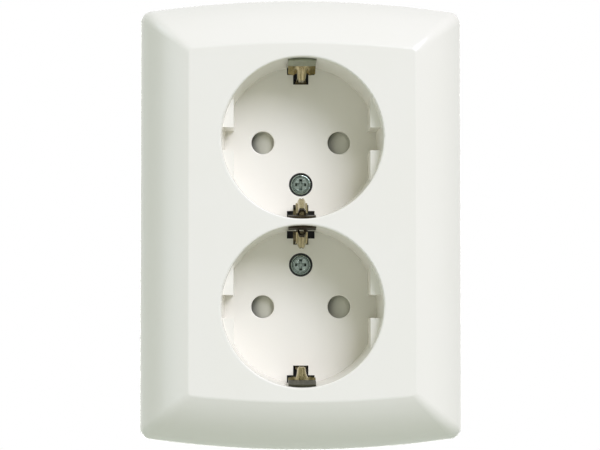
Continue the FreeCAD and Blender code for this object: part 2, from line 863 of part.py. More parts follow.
def build_earth_bow(name, side):
    up = well_height * side
    arm = frame_front - dim.strip_thickness / 2
    base = dim.strip_front + dim.strip_thickness / 2
    step = (dim.insert_radius - dim.strip_thickness / 2 - dim.running_gap) * side
    edge = (plate_front + dim.clip_head_drop, up + dim.clip_head_radius * side)
    bend = (plate_front + dim.clip_bend_drop, up + dim.clip_bend_radius * side)
    tip = (plate_front + dim.clip_tip_drop, up - dim.clip_tip_radius * side)
    outer = clip_leg(up, side, dim.clip_root_radius, arm)
    inner = clip_leg(up, -side, dim.clip_inner_root_radius, base)
    path = [edge, bend] + outer + [(arm, step), (base, step)] + list(reversed(inner)) + [tip]
    fold = dim.strip_bend
    bow = across_strip(path, fold, dim.strip_thickness, dim.strip_width)
    crest = outer[0]
    along = crest[0] - bend[0]
    rise = crest[1] - bend[1]
    share = dim.clip_head_length / root(along * along + rise * rise)
    neck = (bend[0] + along * share, bend[1] + rise * share)
    head = across_strip([edge, bend, neck], fold, dim.strip_thickness, dim.clip_head_width)
    bow = bow.fuse(head)
    screw_eye = plain_rod(0, screw_height * side, dim.strip_front, strip_back,
                          dim.screw_eye_radius)
    link_eye = plain_rod(0, dim.link_rivet_height * side, dim.strip_front, strip_back,
                         dim.rivet_eye_radius)
    arm_front = frame_front - dim.strip_thickness
    frame_eye = plain_rod(0, dim.earth_rivet_height * side, arm_front, frame_front,
                          dim.rivet_eye_radius)
    bow = bow.fuse([screw_eye, link_eye, frame_eye])
    holes = [
        plain_rod(0, screw_height * side, dim.strip_front, strip_back,
                  dim.screw_shank_radius + dim.hole_gap),
        plain_rod(0, dim.link_rivet_height * side, dim.strip_front, strip_back,
                  dim.rivet_radius + dim.tight_gap),
        plain_rod(0, dim.earth_rivet_height * side, arm_front, frame_front,
                  dim.rivet_radius + dim.tight_gap),
    ]
    for hole in holes:
        bow = bow.cut(hole)
    return keep_shape(f"earth_bow_{name}", bow)


# Earth link: plate under both bows with threaded collars and the earth terminal's tab
def build_earth_link():
    link = new_body("earth_link")
    half_width = dim.link_width / 2
    half_height = dim.link_height / 2
    add_prism(link, "XZ", strip_back, link_back,
              block(-half_width, half_width, -half_height, half_height))
    tab = dim.earth_wire_place - dim.tab_offset
    inner = tab + dim.strip_thickness / 2
    outer = tab - dim.strip_thickness / 2
    bend = dim.strip_bend - dim.strip_thickness / 2
    wide_bend = dim.strip_bend + dim.strip_thickness / 2
    half_tab = dim.link_tab_height / 2
    add_prism(link, "XY", -half_tab, half_tab, [
        (half_width, strip_back), (half_width, link_back),
        (inner + bend, link_back, -bend), (inner, link_back + bend), (inner, dim.tab_end),
        (outer, dim.tab_end), (outer, strip_back + wide_bend, wide_bend),
        (outer + wide_bend, strip_back),
    ])
    collars, threads, holes = [], [], []
    for _, side in SIDES:
        collars.append(Round(0, screw_height * side, dim.link_collar_radius))
        threads.append(Round(0, screw_height * side, dim.screw_shank_radius + dim.tight_gap))
        holes.append(Round(0, dim.link_rivet_height * side, dim.rivet_radius + dim.tight_gap))
    collar_back = link_back + dim.link_collar_height
    add_prism(link, "XZ", strip_back, collar_back, *collars)
    cut_prism(link, "XZ", strip_back, collar_back, *threads)
    cut_prism(link, "XZ", strip_back, link_back, *holes)
    return link


# Shutter: a ladder-shaped slider whose two blocks close the pin holes. A pin pushes a
# block's slanting front aside.
shutter_front = floor_back + dim.running_gap
shutter_back = dim.channel_floor - dim.tight_gap


def build_shutter(name, side):
    shutter = new_body(f"shutter_{name}")
    up = well_height * side
    half_length = dim.shutter_half_length
    half_width = dim.shutter_width / 2
    add_prism(shutter, "XZ", shutter_front, shutter_back,
              rounded_block(-half_length, half_length, up - half_width, up + half_width,
                            dim.shutter_corner_radius))
    inner = half_length - dim.shutter_block_length
    half_slot = half_width - dim.shutter_bar
    cut_prism(shutter, "XZ", shutter_front, shutter_back,
              block(-inner, inner, up - half_slot, up + half_slot))
    ramps = []
    for far in (-half_length, inner):
        near = far + dim.shutter_ramp_length
        low = shutter_front + dim.shutter_ramp_drop
        ahead = shutter_front - dim.cut_margin
        ramps.append([(near, shutter_front, -dim.shutter_ramp_radius), (far, low),
                      (far, ahead), (near, ahead)])
    reach = half_width + dim.cut_margin
    cut_prism(shutter, "XY", up - reach, up + reach, *ramps)
    return shutter


def build_shutter_spring(name, side):
    start = -(dim.shutter_half_length - dim.shutter_block_length)
    length = dim.post_place - start - dim.tight_gap * 2
    inside = length - dim.coil_wire_radius * 2
    helix = doc.addObject("Part::Helix", f"coil_{name}")
    bind(helix, "Height", inside)
    bind(helix, "Pitch", inside / dim.coil_turns)
    bind(helix, "Radius", dim.coil_radius)
    wire = doc.addObject("Part::Circle", f"wire_{name}")
    bind(wire, "Radius", dim.coil_wire_radius)
    wire.Placement = FreeCAD.Placement(Vector(dim.coil_radius.number, 0, 0),
                                       FreeCAD.Rotation(Vector(1, 0, 0), 90))
    bind(wire, "Placement.Base.x", dim.coil_radius)
    spring = doc.addObject("Part::Sweep", f"shutter_spring_{name}")
    spring.Sections = [wire]
    spring.Spine = (helix, ["Edge1"])
    spring.Solid = True
    spring.Frenet = True
    middle = (shutter_front + shutter_back) / 2
    spring.Placement = FreeCAD.Placement(Vector(), FreeCAD.Rotation(Vector(0, 1, 0), 90))
    bind(spring, "Placement.Base.x", start + dim.tight_gap + dim.coil_wire_radius)
    bind(spring, "Placement.Base.y", middle)
    bind(spring, "Placement.Base.z", well_height * side)
    spring.Label = f"shutter_spring_{name}"
    return spring


# Contact rail: a lyre of two leaves for each pin, the plate between them and the
# terminal's tab
def build_contact_rail(name, hand):
    place = pin_place * hand
    foot = dim.rail_front + dim.rail_thickness / 2
    leaf_foot = dim.rail_front + dim.leaf_thickness / 2
    pieces = []
    for _, side in SIDES:
        up = well_height * side
        left = [
            (place - dim.leaf_mouth_half, dim.leaf_mouth),
            (place - dim.leaf_grip_half, dim.leaf_grip),
            (place - dim.leaf_foot_half, dim.leaf_foot),
            (place - dim.leaf_foot_half, leaf_foot),
        ]
        right = [(place * 2 - across, along) for across, along in reversed(left)]
        half = dim.leaf_height / 2
        pieces.append(upright_strip(left + right, dim.leaf_bend, dim.leaf_thickness,
                                    up - half, up + half))
    half_width = dim.rail_width / 2
    plate = plain_block(place - half_width, place + half_width, dim.rail_front, rail_back,
                        -well_height, well_height)
    tab = (dim.live_wire_place + dim.tab_offset) * hand
    half_tab = dim.tab_height / 2
    folded_tab = upright_strip([(place + half_width * -hand, foot), (tab, foot),
                                (tab, dim.tab_end)],
                               dim.strip_bend, dim.rail_thickness, -half_tab, half_tab)
    rail = pieces[0].fuse([pieces[1], plate, folded_tab])
    return keep_shape(f"{name}_contact_rail", rail)


# Rear housing: a cup with a chamber for each rail, wire entries and release slots
TERMINALS = (
    ("line", -dim.live_wire_place, 1),
    ("neutral", dim.live_wire_place, -1),
    ("earth", dim.earth_wire_place, 1),
)


def build_rear_housing():
    housing = new_body("rear_housing")
    add_prism(housing, "XZ", dim.insert_split, dim.housing_back,
              barrel(dim.housing_radius, dim.insert_half_width))
    inner_radius = dim.housing_radius - dim.housing_wall
    far = dim.insert_half_width - dim.housing_wall
    near = dim.partition_place + dim.partition_thickness / 2
    for hand in (1, -1):
        near_rise = far_side(inner_radius, near)
        far_rise = far_side(inner_radius, far)
        chamber = [
            (near * hand, -near_rise, inner_radius * hand), (far * hand, -far_rise),
            (far * hand, far_rise, inner_radius * hand), (near * hand, near_rise),
        ]
        cut_prism(housing, "XZ", dim.insert_split, chamber_back, chamber)
    middle = dim.partition_place - dim.partition_thickness / 2
    wall_near = dim.cross_wall_place - dim.cross_wall_thickness / 2
    wall_far = dim.cross_wall_place + dim.cross_wall_thickness / 2
    top = far_side(inner_radius, middle)
    cut_prism(housing, "XZ", dim.insert_split, chamber_back,
              block(-middle, middle, -wall_near, wall_near),
              block(-middle, middle, wall_far, top), block(-middle, middle, -top, -wall_far))
    noses, rests, bosses, screws, recesses, wires, slots = [], [], [], [], [], [], []
    for side in (1, -1):
        # Noses hold the link in the carrier, and rests carry the rails' plates
        nose_half = dim.link_width / 2 - dim.running_gap
        noses.append(block(-nose_half, nose_half, wall_near * side,
                           (wall_far - dim.tight_gap) * side))
        for hand in (1, -1):
            rests.append(Round(pin_place * hand, well_height * side, dim.rail_width / 2))
            across = dim.housing_screw_across / 2 * hand
            up = dim.housing_screw_up / 2 * side
            bosses.append(Round(across, up, dim.housing_boss_radius))
            screws.append(Round(across, up, dim.housing_screw_radius + dim.hole_gap))
            recesses.append(Round(across, up, dim.housing_screw_head_radius + dim.running_gap))
        for _, wire, _ in TERMINALS:
            wires.append(Round(wire, dim.wire_pitch / 2 * side, dim.wire_hole_radius))
    for _, wire, toward in TERMINALS:
        middle = wire + dim.bar_offset * toward
        half = dim.bar_thickness / 2 + dim.hole_gap
        high = dim.bar_height / 2 + dim.hole_gap
        slots.append(block(middle - half, middle + half, -high, high))
    back = dim.housing_back
    add_prism(housing, "XZ", link_back + dim.tight_gap, chamber_back, *noses)
    add_prism(housing, "XZ", rail_back, chamber_back + dim.housing_back_wall / 2, *rests)
    add_prism(housing, "XZ", dim.insert_split, back, *bosses)
    cut_prism(housing, "XZ", dim.insert_split, back, *screws)
    cut_prism(housing, "XZ", back - dim.housing_screw_recess, back, *recesses)
    cut_prism(housing, "XZ", chamber_back, back, *wires, *slots)
    return housing


# Leaf spring of a push-in terminal: a leg along the partition and a slit blade
def build_clamp_spring(name, wire, toward):
    leg = wire + (dim.bar_offset + dim.bar_thickness / 2 + dim.clamp_thickness / 2) * toward
    tip = wire - (dim.tab_offset - dim.strip_thickness / 2 - dim.clamp_thickness) * toward
    half = dim.clamp_height / 2
    clamp = upright_strip([(leg, dim.clamp_leg_end), (leg, dim.clamp_fold), (tip, dim.clamp_tip)],
                          dim.clamp_bend, dim.clamp_thickness, -half, half)
    reach = dim.wire_hole_radius + dim.cut_margin
    slit = dim.clamp_slit / 2
    gap = plain_block(wire - reach, wire + reach, dim.clamp_leg_end, dim.clamp_fold, -slit, slit)
    return keep_shape(f"{name}_clamp_spring", clamp.cut(gap))


def build_release_bar(name, wire, toward):
    bar = new_body(f"{name}_release_bar")
    middle = wire + dim.bar_offset * toward
    half = dim.bar_thickness / 2
    add_prism(bar, "XZ", dim.bar_nose, dim.bar_end,
              block(middle - half, middle + half, -dim.bar_height / 2, dim.bar_height / 2))
    ear_back = chamber_back - dim.seat_gap
    add_prism(bar, "XZ", ear_back - dim.bar_ear_thickness, ear_back,
              block(middle - half, middle + half, -dim.bar_ear_height / 2, dim.bar_ear_height / 2))
    return bar


def build_housing_screws():
    screws = []
    for side in (1, -1):
        for hand in (-1, 1):
            seat = dim.housing_back - dim.housing_screw_recess
            screws.append(build_screw(
                f"housing_screw_{len(screws) + 1}", dim.housing_screw_across / 2 * hand,
                dim.housing_screw_up / 2 * side, seat, 1, dim.housing_screw_head_radius,
                dim.housing_screw_head_height, dim.housing_screw_radius,
                dim.housing_screw_end, dim.housing_cross_length, dim.housing_cross_width))
    return screws


nodes = [build_cover(), build_support_frame(), build_contact_carrier(), build_rear_housing()]
nodes.append(build_earth_link())
nodes += build_rivets()
for name, side in SIDES:
    nodes.append(build_cover_screw(name, side))
    nodes.append(build_earth_bow(name, side))
    nodes.append(build_shutter(name, side))
    nodes.append(build_shutter_spring(name, side))
for name, hand in (("line", -1), ("neutral", 1)):
    nodes.append(build_contact_rail(name, hand))
for name, wire, toward in TERMINALS:
    nodes.append(build_clamp_spring(name, wire, toward))
    nodes.append(build_release_bar(name, wire, toward))
nodes += build_housing_screws()
doc.recompute()


# Every object must be sound before anything is written
def check_document():
    for thing in doc.Objects:
        if "Invalid" in thing.State or "Error" in thing.State:
            raise RuntimeError(f"{thing.Label} failed: {thing.State}")
        if thing.TypeId in ("PartDesign::Pocket", "PartDesign::Groove"):
            if thing.BaseFeature.Shape.Volume - thing.Shape.Volume < 1e-6:
                raise RuntimeError(f"{thing.Name} cuts nothing")
    for node in nodes:
        if node.Shape.isNull() or not node.Shape.isValid() or len(node.Shape.Solids) != 1:
            raise RuntimeError(f"{node.Label} is not one sound solid")


check_document()
for node in nodes:
    node.Shape.exportStep(f"parts/{node.Label}.step")
print(len(nodes), "nodes written")
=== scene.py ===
import math

import bmesh
import bpy
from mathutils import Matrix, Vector


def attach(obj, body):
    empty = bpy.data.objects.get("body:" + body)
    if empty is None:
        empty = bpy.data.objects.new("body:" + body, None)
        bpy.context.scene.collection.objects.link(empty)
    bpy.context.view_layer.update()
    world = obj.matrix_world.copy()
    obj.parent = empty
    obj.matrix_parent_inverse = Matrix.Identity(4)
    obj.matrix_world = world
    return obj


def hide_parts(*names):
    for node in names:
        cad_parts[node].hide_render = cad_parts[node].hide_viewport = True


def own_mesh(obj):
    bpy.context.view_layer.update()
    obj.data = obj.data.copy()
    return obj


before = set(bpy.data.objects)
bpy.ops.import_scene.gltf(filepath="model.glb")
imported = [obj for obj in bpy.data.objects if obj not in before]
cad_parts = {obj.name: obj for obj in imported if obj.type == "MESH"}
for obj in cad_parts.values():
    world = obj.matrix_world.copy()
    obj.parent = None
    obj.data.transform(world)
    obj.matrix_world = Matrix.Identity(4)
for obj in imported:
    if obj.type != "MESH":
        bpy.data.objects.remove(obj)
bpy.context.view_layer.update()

# Cover: one moulding of white polycarbonate with the bevelled plate and both wells, made in
# a polished tool. One screw in each well holds it to the insert.
MM = 0.001
TONE_DRIFT_MM = 18
# Plastics are near 1.5 to 1.58, and the photo's edges shine less than that
PLASTIC_IOR = 1.44


def linear(hex_text):
    channels = [int(hex_text[place:place + 2], 16) / 255 for place in (1, 3, 5)]
    return tuple(c / 12.92 if c <= 0.04045 else ((c + 0.055) / 1.055) ** 2.4
                 for c in channels) + (1.0,)


def add_node(material, kind, settings, links):
    node = material.node_tree.nodes.new(kind)
    for name, value in settings.items():
        if isinstance(name, str) and hasattr(node, name):
            setattr(node, name, value)
        else:
            node.inputs[name].default_value = value
    for name, source in links.items():
        material.node_tree.links.new(source, node.inputs[name])
    return node


def new_material(name):
    material = bpy.data.materials.new(name)
    material.use_nodes = True
    material.node_tree.nodes.clear()
    return material


def moulded_plastic(name, colour, cast, roughness, peel_mm, depth_mm):
    # The resin's tone drifts between two near colours, and the tool's face gives a soft gloss
    material = new_material(name)
    place = add_node(material, "ShaderNodeTexCoord", {}, {}).outputs["Object"]
    drift = add_node(material, "ShaderNodeTexNoise",
                     {"Scale": 1 / (TONE_DRIFT_MM * MM), "Detail": 2.0}, {"Vector": place})
    tone = add_node(material, "ShaderNodeMix",
                    {"data_type": "RGBA", 6: linear(colour), 7: linear(cast)},
                    {0: drift.outputs["Fac"]})
    peel = add_node(material, "ShaderNodeTexNoise",
                    {"Scale": 1 / (peel_mm * MM), "Detail": 3.0, "Roughness": 0.6},
                    {"Vector": place})
    gloss = add_node(material, "ShaderNodeMapRange",
                     {"To Min": roughness - 0.04, "To Max": roughness + 0.06},
                     {"Value": peel.outputs["Fac"]})
    bump = add_node(material, "ShaderNodeBump", {"Strength": 0.5, "Distance": depth_mm * MM},
                    {"Height": peel.outputs["Fac"]})
    shader = add_node(material, "ShaderNodeBsdfPrincipled", {"IOR": PLASTIC_IOR},
                      {"Base Color": tone.outputs[2], "Roughness": gloss.outputs["Result"],
                       "Normal": bump.outputs["Normal"]})
    add_node(material, "ShaderNodeOutputMaterial", {}, {"Surface": shader.outputs["BSDF"]})
    return material


def dress(name, material):
    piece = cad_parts[name]
    piece.data.materials.clear()
    piece.data.materials.append(material)
    return piece


# A warm white with a smooth soft shine and a slight orange peel
polycarbonate = moulded_plastic("moulded white polycarbonate", "#F3F0E6", "#F1EEE2",
                                0.24, 0.9, 0.004)
dress("cover", polycarbonate)

# Earth bow: one strip of nickel-plated bronze for each well, blanked, pressed into a gutter
# where the plug slides, and folded. It is riveted to the support frame and to the earth
# link, and its two ends are the well's earth clips. Lengths are in millimetres.
WELL_CENTRE = 20.45
STRIP_HALF = 0.4
STRIP_WIDTH_HALF = 1.5
HEAD_WIDTH_HALF = 3.35
# The strip's middle line in each clip: place along Y, and distance from the well's centre
FRAME_SEAT = -1.4
LINK_SEAT = 3.4
STEP_UP = 28.55
OUTER_CLIP = ((-19.75, 19.3), (-16.5, 18.3), (-12.0, 14.95), (-4.5, 15.2), (FRAME_SEAT, 15.2))
INNER_CLIP = ((LINK_SEAT, 16.1), (-4.5, 16.1), (-12.0, 15.8), (-17.3, 19.0), (-20.0, 19.45))
FOLD = 0.9
FOLD_STEP_DEGREES = 12
POINT_SPACING = 0.3
# Rivet and screw holes: height, seat, radius of the eye round the hole, and hole's radius
HOLES = ((32.2, FRAME_SEAT, 2.5, 1.05), (15.6, LINK_SEAT, 2.5, 1.05),
         (10.0, LINK_SEAT, 3.6, 1.65))
PUNCH_REACH = {FRAME_SEAT: (-3, 0), LINK_SEAT: (2, 5)}
PUNCH_SIDES = 32
# Outer clip: a low crown with a broad pressed line, which narrows towards its crest
OUTER_TURN = math.radians(80)
OUTER_RISE = 1.2
OUTER_NARROWING = 0.4
OUTER_LINE_DEPTH = 0.3
OUTER_LINE_SHARE = 0.2
# Inner clip: a high narrow arch with a fine pressed line, between two flat rails
INNER_TURN = math.radians(88)
INNER_RISE = 1.35
INNER_STEEPNESS = 1.4
INNER_LINE_DEPTH = 0.34
INNER_LINE_SHARE = 0.13
ARCH_SHARE = 0.75
ARCH_HALF = 1.05
RAIL_SPREAD = 1.4
PRESSED_THINNING = 0.5
# The pressed form comes in and runs out over these lengths before and after a fold
INNER_RUN_IN = 0.5
OUTER_RUN_IN = (0.4, 1.2)
OUTER_RUN_OUT = (2.5, 1.5)
# Head: the outer arms reach further past the bend in the upper bow than in the lower one
OUTER_ARM_REACH = {1: 3.6, -1: 1.6}
INNER_ARM_REACH = 0.3
ARM_DROOP = 0.5
DROOP_RUN = (0.6, 2.5)
HEAD_PLACE = -16.6
# Open mouth where the inner arch ends below its head
MOUTH_LENGTH = 0.4
MOUTH_FACES = range(3, 17)
WEB_STEPS = 20
ARM_STEPS = 4
SHARP_ANGLE = math.radians(35)
ROLLING_LINE_MM = 0.12
ROLLING_STRETCH = 0.06
BLOTCH_MM = 1.6
MIDDLE_TONE_TO = 1.1
ARM_TONE_FROM = 2.2


def plated_strip(name, colour, stain, roughness, wing=None):
    # Rolling lines run along the strip, drawn coarser than real ones so that they show, and
    # handling leaves darker blotches
    material = new_material(name)
    place = add_node(material, "ShaderNodeTexCoord", {}, {}).outputs["Object"]
    stretched = add_node(material, "ShaderNodeMapping",
                         {"Scale": (1.0, ROLLING_STRETCH, ROLLING_STRETCH)}, {"Vector": place})
    lines = add_node(material, "ShaderNodeTexNoise",
                     {"Scale": 1 / (ROLLING_LINE_MM * MM), "Detail": 3.0},
                     {"Vector": stretched.outputs["Vector"]})
    blotch = add_node(material, "ShaderNodeTexNoise",
                      {"Scale": 1 / (BLOTCH_MM * MM), "Detail": 4.0}, {"Vector": place})
    tone = add_node(material, "ShaderNodeMix",
                    {"data_type": "RGBA", 6: linear(colour), 7: linear(stain)},
                    {0: blotch.outputs["Fac"]})
    if wing:
        # The arms beside the strip are a darker olive than its middle
        parts = add_node(material, "ShaderNodeSeparateXYZ", {}, {"Vector": place})
        aside = add_node(material, "ShaderNodeMath", {"operation": "ABSOLUTE"},
                         {0: parts.outputs["X"]})
        share = add_node(material, "ShaderNodeMapRange",
                         {"From Min": MIDDLE_TONE_TO * MM, "From Max": ARM_TONE_FROM * MM},
                         {"Value": aside.outputs["Value"]})
        tone = add_node(material, "ShaderNodeMix", {"data_type": "RGBA", 7: linear(wing)},
                        {0: share.outputs["Result"], 6: tone.outputs[2]})
    gloss = add_node(material, "ShaderNodeMapRange",
                     {"To Min": roughness - 0.08, "To Max": roughness + 0.12},
                     {"Value": lines.outputs["Fac"]})
    bump = add_node(material, "ShaderNodeBump", {"Strength": 0.4, "Distance": 0.01 * MM},
                    {"Height": lines.outputs["Fac"]})
    shader = add_node(material, "ShaderNodeBsdfPrincipled", {"Metallic": 1.0},
                      {"Base Color": tone.outputs[2], "Roughness": gloss.outputs["Result"],
                       "Normal": bump.outputs["Normal"]})
    add_node(material, "ShaderNodeOutputMaterial", {}, {"Surface": shader.outputs["BSDF"]})
    return material


def folded_path(corners):
    # Points along the strip's middle line, with each fold an arc
    stops = [[corners[0]]]
    for before, corner, after in zip(corners, corners[1:], corners[2:]):
        arriving = (corner - before).normalized()
        leaving = (after - corner).normalized()
        turn = arriving.angle(leaving)
        reach = FOLD * math.tan(turn / 2)
        centre = corner + (leaving - arriving).normalized() * math.hypot(FOLD, reach)
        first = corner - arriving * reach - centre
        last = corner + leaving * reach - centre
        steps = max(2, math.ceil(math.degrees(turn) / FOLD_STEP_DEGREES))
        stops.append([centre + (first * math.sin(turn * (1 - step / steps))
                                + last * math.sin(turn * step / steps)) / math.sin(turn)
                      for step in range(steps + 1)])
    stops.append([corners[-1]])
    points = []
    for stop, follower in zip(stops, stops[1:]):
        gap = follower[0] - stop[-1]
        count = max(1, math.ceil(gap.length / POINT_SPACING))
        points += stop + [stop[-1] + gap * (step / count) for step in range(1, count)]
    return points + stops[-1]


def eased(value, low, high):
    share = min(1.0, max(0.0, (value - low) / (high - low)))
    return share * share * (3 - 2 * share)


def make_piece(name, vertices, faces, material):
    mesh = bpy.data.meshes.new(name)
    mesh.from_pydata([tuple(part * MM for part in vertex) for vertex in vertices], [], faces)
    built = bmesh.new()
    built.from_mesh(mesh)
    stray = [vertex for vertex in built.verts if not vertex.link_faces]
    bmesh.ops.delete(built, geom=stray, context="VERTS")
    bmesh.ops.recalc_face_normals(built, faces=built.faces)
    built.to_mesh(mesh)
    built.free()
    mesh.shade_smooth()
    mesh.set_sharp_from_angle(angle=SHARP_ANGLE)
    mesh.materials.append(material)
    piece = bpy.data.objects.new(name, mesh)
    bpy.context.scene.collection.objects.link(piece)
    return piece


def cut_away(piece, cutters):
    # The cutters are used up
    for cutter in cutters:
        cut = piece.modifiers.new("cut", "BOOLEAN")
        cut.operation = "DIFFERENCE"
        cut.solver = "EXACT"
        cut.object = cutter
        with bpy.context.temp_override(object=piece):
            bpy.ops.object.modifier_apply(modifier=cut.name)
        bpy.data.objects.remove(cutter)
    piece.data.set_sharp_from_angle(angle=SHARP_ANGLE)


def round_punch(up, front, back, radius):
    # A plain round cutter along Y
    vertices = []
    for along in (front, back):
        for step in range(PUNCH_SIDES):
            angle = step * math.tau / PUNCH_SIDES
            vertices.append((radius * math.cos(angle), along, up + radius * math.sin(angle)))
    faces = [tuple(range(PUNCH_SIDES)), tuple(range(PUNCH_SIDES, PUNCH_SIDES * 2))]
    for step in range(PUNCH_SIDES):
        ahead = (step + 1) % PUNCH_SIDES
        faces.append((step, ahead, ahead + PUNCH_SIDES, step + PUNCH_SIDES))
    return vertices, faces


def outer_gutter(share, half_width):
    # Across the strip at full depth: place, rise and the surface's lean
    angle = share * OUTER_TURN
    valley = OUTER_LINE_DEPTH * math.exp(-(share / OUTER_LINE_SHARE) ** 2)
    return half_width * math.sin(angle), -OUTER_RISE * (1 - math.cos(angle)) - valley, angle


def inner_gutter(share):
    # The same for the inner clip
    if abs(share) < ARCH_SHARE:
        angle = share / ARCH_SHARE * INNER_TURN
        valley = INNER_LINE_DEPTH * math.exp(-(share / INNER_LINE_SHARE) ** 2)
        rise = INNER_RISE * math.cos(angle) ** INNER_STEEPNESS - valley
        return ARCH_HALF * math.sin(angle), rise, angle
    return math.copysign(ARCH_HALF + (abs(share) - ARCH_SHARE) * RAIL_SPREAD, share), 0.0, 0.0


def earth_bow(name, side):
    corners = [Vector((along, WELL_CENTRE + away)) for along, away in OUTER_CLIP]
    corners += [Vector((FRAME_SEAT, STEP_UP)), Vector((LINK_SEAT, STEP_UP))]
    corners += [Vector((along, WELL_CENTRE - away)) for along, away in INNER_CLIP]
    points = folded_path(corners)
    lengths = [0.0]
    for here, there in zip(points, points[1:]):
        lengths.append(lengths[-1] + (there - here).length)

    def along_at(corner):
        return min(zip(points, lengths), key=lambda pair: (pair[0] - corner).length)[1]

    bend_at, crest_at, floor_at = [along_at(corner) for corner in corners[1:4]]
    root_at, top_at, mouth_at = [along_at(corner) for corner in corners[8:11]]
    web = [-1 + step * 2 / WEB_STEPS for step in range(WEB_STEPS + 1)]
    front, back, faces = [], [], []
    last_row, was_open = None, False
    for place, (point, along) in enumerate(zip(points, lengths)):
        ahead = points[min(place + 1, len(points) - 1)]
        behind = points[max(place - 1, 0)]
        way = (ahead - behind).normalized()
        normal = Vector((way.y, -way.x))
        # A clip is deepest at its crest, and the strip is flat where it is riveted
        is_inner = along > (floor_at + root_at) / 2
        if is_inner:
            depth = eased(along, root_at - INNER_RUN_IN, top_at - INNER_RUN_IN)
            depth *= along <= mouth_at
            has_arms = along > mouth_at - INNER_ARM_REACH
        else:
            depth = eased(along, bend_at - OUTER_RUN_IN[0], crest_at - OUTER_RUN_IN[1])
            depth *= 1 - eased(along, floor_at - OUTER_RUN_OUT[0], floor_at + OUTER_RUN_OUT[1])
            half_width = STRIP_WIDTH_HALF - OUTER_NARROWING * eased(along, bend_at, crest_at)
            has_arms = along <= bend_at + OUTER_ARM_REACH[side]
        is_open = is_inner and mouth_at - MOUTH_LENGTH < along <= mouth_at
        strip_half = STRIP_WIDTH_HALF
        for eye_up, seat, eye_radius, _ in HOLES:
            off = (point - Vector((seat, eye_up))).length
            if off < eye_radius:
                strip_half = max(strip_half, math.sqrt(eye_radius * eye_radius - off * off))
        stations = []
        for share in web:
            if is_inner:
                across, rise, lean = inner_gutter(share)
            else:
                across, rise, lean = outer_gutter(share, half_width)
            across = share * strip_half * (1 - depth) + across * depth
            stations.append((across, rise * depth, lean * depth))
        if has_arms:
            droop = 0
            if not is_inner:
                droop = ARM_DROOP * eased(along, bend_at - DROOP_RUN[0], bend_at + DROOP_RUN[1])
            arm = []
            arm_length = HEAD_WIDTH_HALF - STRIP_WIDTH_HALF
            for step in range(ARM_STEPS):
                across = HEAD_WIDTH_HALF - arm_length * (step / ARM_STEPS)
                fall = droop * eased(across, STRIP_WIDTH_HALF, HEAD_WIDTH_HALF)
                arm.append((across, -fall, 0.0))
            stations = ([(-across, rise, lean) for across, rise, lean in arm] + stations
                        + list(reversed(arm)))
        thickness = STRIP_HALF * 2 * (1 - PRESSED_THINNING * depth)
        row = []
        for across, rise, lean in stations:
            row.append(len(front))
            spot = point + normal * (STRIP_HALF + rise)
            under = spot - normal * (math.cos(lean) * thickness)
            front.append((across, spot.x, spot.y * side))
            back.append((across - math.sin(lean) * thickness, under.x, under.y * side))
        if last_row is not None:
            upper = last_row[ARM_STEPS:-ARM_STEPS] if len(last_row) > len(row) else last_row
            lower = row[ARM_STEPS:-ARM_STEPS] if len(row) > len(last_row) else row
            skipped = MOUTH_FACES if is_open or was_open else ()
            for here in range(len(upper) - 1):
                if here not in skipped:
                    faces.append((upper[here], upper[here + 1], lower[here + 1], lower[here]))
        last_row, was_open = row, is_open
    # The front and back skins are joined along every free edge
    count = len(front)
    uses = {}
    for face in faces:
        for start, end in zip(face, face[1:] + face[:1]):
            uses[frozenset((start, end))] = uses.get(frozenset((start, end)), 0) + 1
    rims = [tuple(edge) for edge, times in uses.items() if times == 1]
    solid = faces + [tuple(corner + count for corner in face) for face in faces]
    solid += [(start, end, end + count, start + count) for start, end in rims]
    piece = make_piece(name, front + back, solid, bow_bronze)
    punches = []
    for hole_up, seat, _, radius in HOLES:
        shape = round_punch(hole_up * side, *PUNCH_REACH[seat], radius)
        punches.append(make_piece("punch", *shape, bow_bronze))
    cut_away(piece, punches)
    piece.data.materials.append(painted_head_bronze[side])
    piece.data.materials.append(inner_head_shade_bronze)
    # Head faces take painted tones: painted reflection on the upper outer head, painted shade
    # on the lower outer head and on the inner heads
    for face in piece.data.polygons:
        if face.center.y < HEAD_PLACE * MM:
            face.material_index = 1 if abs(face.center.z) > WELL_CENTRE * MM else 2
    return piece


# Bright yellow-grey with a clear shine in the strip's middle, and olive towards the arms
bow_bronze = plated_strip("nickel-plated bronze with olive arms", "#D6CBA4", "#8A7D58", 0.18,
                             "#766C46")
# The outer heads: a flat grey-green that is painted reflection in the upper well, and far
# darker painted shade in the lower well
painted_head_bronze = {1: plated_strip("nickel-plated bronze painted with reflection", "#A9AE9C", "#7C7F6C", 0.32),
               -1: plated_strip("nickel-plated bronze painted with shade", "#5C5D4E", "#35342B", 0.36)}
# The inner heads: a brown that is nearly black, painted shade
inner_head_shade_bronze = plated_strip("nickel-plated bronze painted with near-black shade", "#4A4232", "#1E1A14", 0.4)
for place, side in (("upper", 1), ("lower", -1)):
    piece = earth_bow(f"folded_earth_bow_{place}", side)
    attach(piece, "socket")
    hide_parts(f"earth_bow_{place}")

# Cover screws: cold-headed steel with bluish zinc plating. The head has a raised rim, a turned
# groove and a cross recess, and the rolled thread goes into the earth link. A ring of black
# plastic round each head stands in for the shade in the gap round it: painted shade.
SCREW_UP = 10.0
# Places along Y and radii, from the middle of the head to the root of its underside
SCREW_HEAD = ((-4.14, 0.5), (-4.16, 1.2), (-4.12, 1.72), (-3.82, 1.84), (-3.82, 1.98),
              (-4.22, 2.1), (-4.3, 2.2), (-4.3, 2.32), (-4.2, 2.5), (-4.0, 2.6), (-2.5, 2.6),
              (-2.5, 1.3))
SCREW_POINT = ((7.0, 1.2), (7.4, 0.9))
THREAD_START = -2.4
THREAD_STEP = 0.1
THREAD_ROWS = 92
THREAD_ROOT = 1.18
THREAD_DEPTH = 0.3
THREAD_PITCH = 0.5
TURNED_SIDES = 48
RECESS_TOP = -4.16
RECESS_DEPTH = 1.1
RECESS_LENGTH = 2.9
RECESS_WIDTH = 0.75
